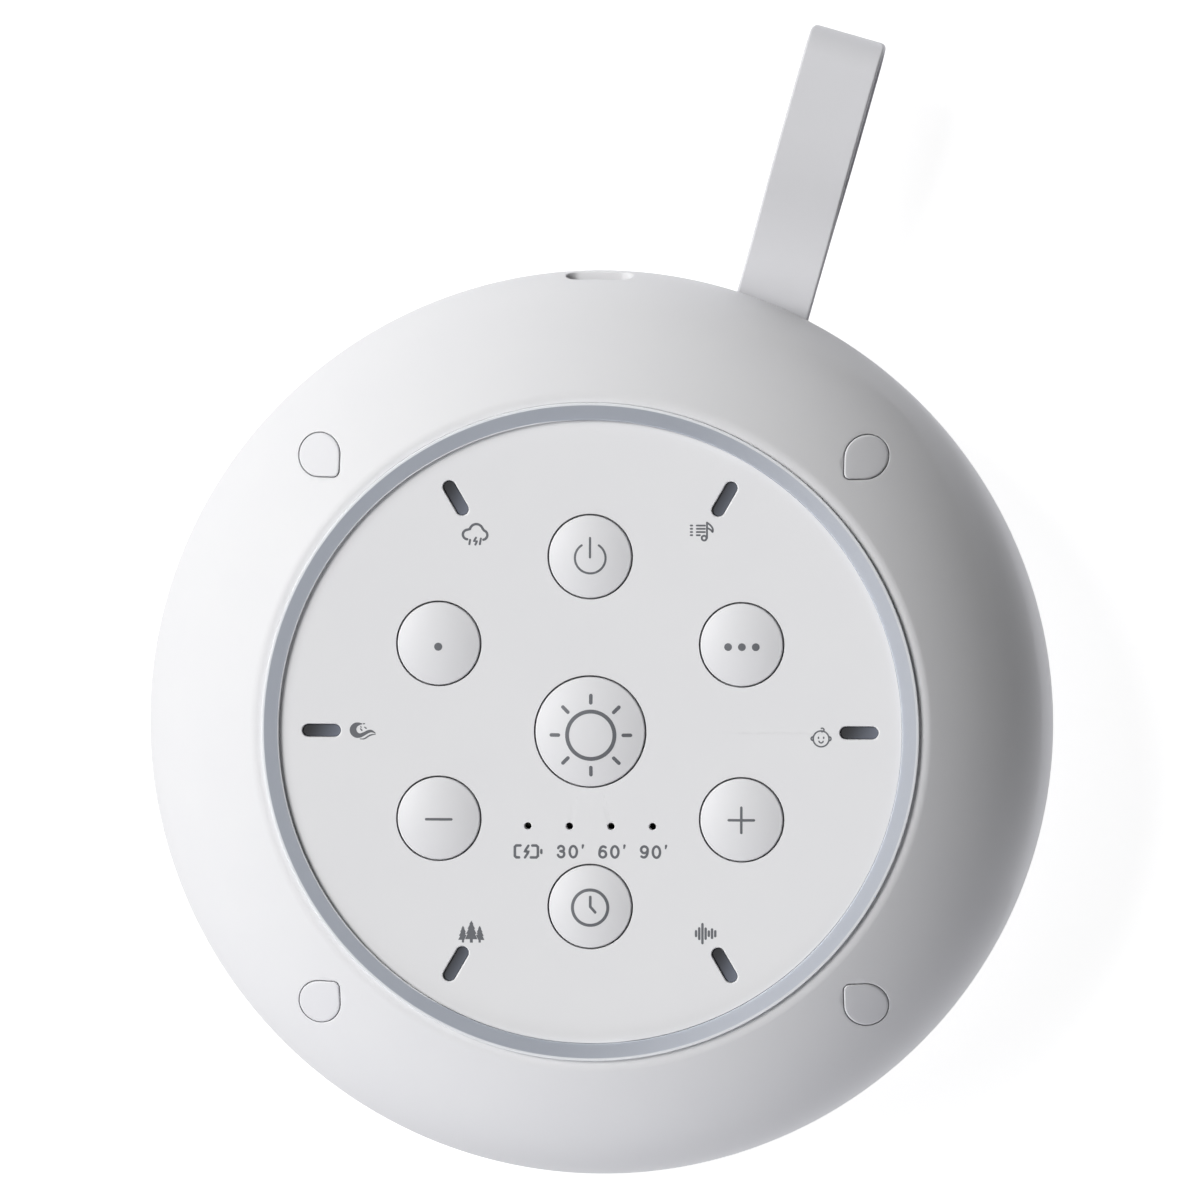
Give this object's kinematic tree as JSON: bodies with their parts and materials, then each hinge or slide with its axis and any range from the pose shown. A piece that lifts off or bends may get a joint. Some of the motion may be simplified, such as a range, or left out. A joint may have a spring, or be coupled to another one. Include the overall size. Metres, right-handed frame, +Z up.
{
  "type": "white noise sound machine",
  "caption": "Round pebble-shaped sound machine with a control panel in a light ring, sprung push buttons, a downward speaker grille, a charging socket and a hanging strap.",
  "frame": {"origin": "centre of the plane that the foot stands on, on the axis of the round case", "axes": "+Z up out of the control panel, +Y to the charging socket at 12 o'clock, +X to 3 o'clock"},
  "size_m": [0.126, 0.1599, 0.0439],
  "materials": {
    "case_white": "fine matte moulded texture, cool white",
    "panel_white": "fine matte moulded texture",
    "button_white": "satin moulded",
    "light_diffuser": "frosted translucent, unlit",
    "silicone": "matte soft",
    "smoked_lens": "smoked, polished",
    "black_plastic": "moulded black",
    "plunger_plastic": "moulded",
    "circuit_board": "solder mask on glass laminate",
    "light_source": "small moulded lamps",
    "connector_plastic": "moulded nylon",
    "grille_cloth": "fine black acoustic cloth",
    "foam": "closed-cell foam",
    "steel": "zinc plated",
    "magnet": "coated",
    "paper_cone": "pressed paper pulp",
    "rubber_roll": "soft black",
    "copper_coil": "enamelled copper winding",
    "battery_wrap": "laminated pouch"
  },
  "bodies": {
    "case": {"top_shell": "case_white", "base_shell": "case_white", "control_panel": "panel_white", "light_ring": "light_diffuser", "screw_plugs": "silicone", "indicator_lenses": "smoked_lens", "timer_light_guide": "black_plastic", "circuit_board": "circuit_board", "tact_switches": "black_plastic", "ring_lights": "light_source", "indicator_lights": "light_source", "timer_lights": "light_source", "controller_chip": "black_plastic", "amplifier_chip": "black_plastic", "battery_connector": "connector_plastic", "speaker_connector": "connector_plastic", "grille_cloth": "grille_cloth", "speaker_gasket": "foam", "speaker_frame": "steel", "speaker_magnet": "magnet", "speaker_cone": "paper_cone", "speaker_surround": "rubber_roll", "voice_coil": "copper_coil", "battery_tray": "black_plastic", "battery_pad": "foam", "battery": "battery_wrap", "charging_board": "circuit_board", "charging_port": "steel", "charging_port_tongue": "black_plastic", "charging_chip": "black_plastic", "strap_pin": "steel", "foot": "silicone", "case_screws": "steel", "board_screws": "steel", "tray_screws": "steel", "speaker_screws": "steel", "charging_screws": "steel"},
    "power_key": {"power_button": "button_white", "power_plunger": "plunger_plastic"},
    "one_dot_key": {"one_dot_button": "button_white", "one_dot_plunger": "plunger_plastic"},
    "three_dot_key": {"three_dot_button": "button_white", "three_dot_plunger": "plunger_plastic"},
    "volume_down_key": {"volume_down_button": "button_white", "volume_down_plunger": "plunger_plastic"},
    "volume_up_key": {"volume_up_button": "button_white", "volume_up_plunger": "plunger_plastic"},
    "timer_key": {"timer_button": "button_white", "timer_plunger": "plunger_plastic"},
    "light_key": {"light_button": "button_white", "light_plunger": "plunger_plastic"},
    "hanging_strap": {"strap": "silicone"}
  },
  "joints": [
    {"name": "power_press", "type": "slide", "parent": "case", "child": "power_key", "axis": [0, 0, -1], "range_m": [0, 0.0005], "stiffness_N_per_m": 800, "springref_m": -0.0005},
    {"name": "one_dot_press", "type": "slide", "parent": "case", "child": "one_dot_key", "axis": [0, 0, -1], "range_m": [0, 0.0005], "stiffness_N_per_m": 800, "springref_m": -0.0005},
    {"name": "three_dot_press", "type": "slide", "parent": "case", "child": "three_dot_key", "axis": [0, 0, -1], "range_m": [0, 0.0005], "stiffness_N_per_m": 800, "springref_m": -0.0005},
    {"name": "volume_down_press", "type": "slide", "parent": "case", "child": "volume_down_key", "axis": [0, 0, -1], "range_m": [0, 0.0005], "stiffness_N_per_m": 800, "springref_m": -0.0005},
    {"name": "volume_up_press", "type": "slide", "parent": "case", "child": "volume_up_key", "axis": [0, 0, -1], "range_m": [0, 0.0005], "stiffness_N_per_m": 800, "springref_m": -0.0005},
    {"name": "timer_press", "type": "slide", "parent": "case", "child": "timer_key", "axis": [0, 0, -1], "range_m": [0, 0.0005], "stiffness_N_per_m": 800, "springref_m": -0.0005},
    {"name": "light_press", "type": "slide", "parent": "case", "child": "light_key", "axis": [0, 0, -1], "range_m": [0, 0.0005], "stiffness_N_per_m": 800, "springref_m": -0.0005},
    {"name": "strap_swing", "type": "hinge", "parent": "case", "child": "hanging_strap", "pos_m": [0.02179, 0.05203, 0.016], "axis": [0.9622, -0.2723, 0], "range_deg": [-16, 20]}
  ]
}
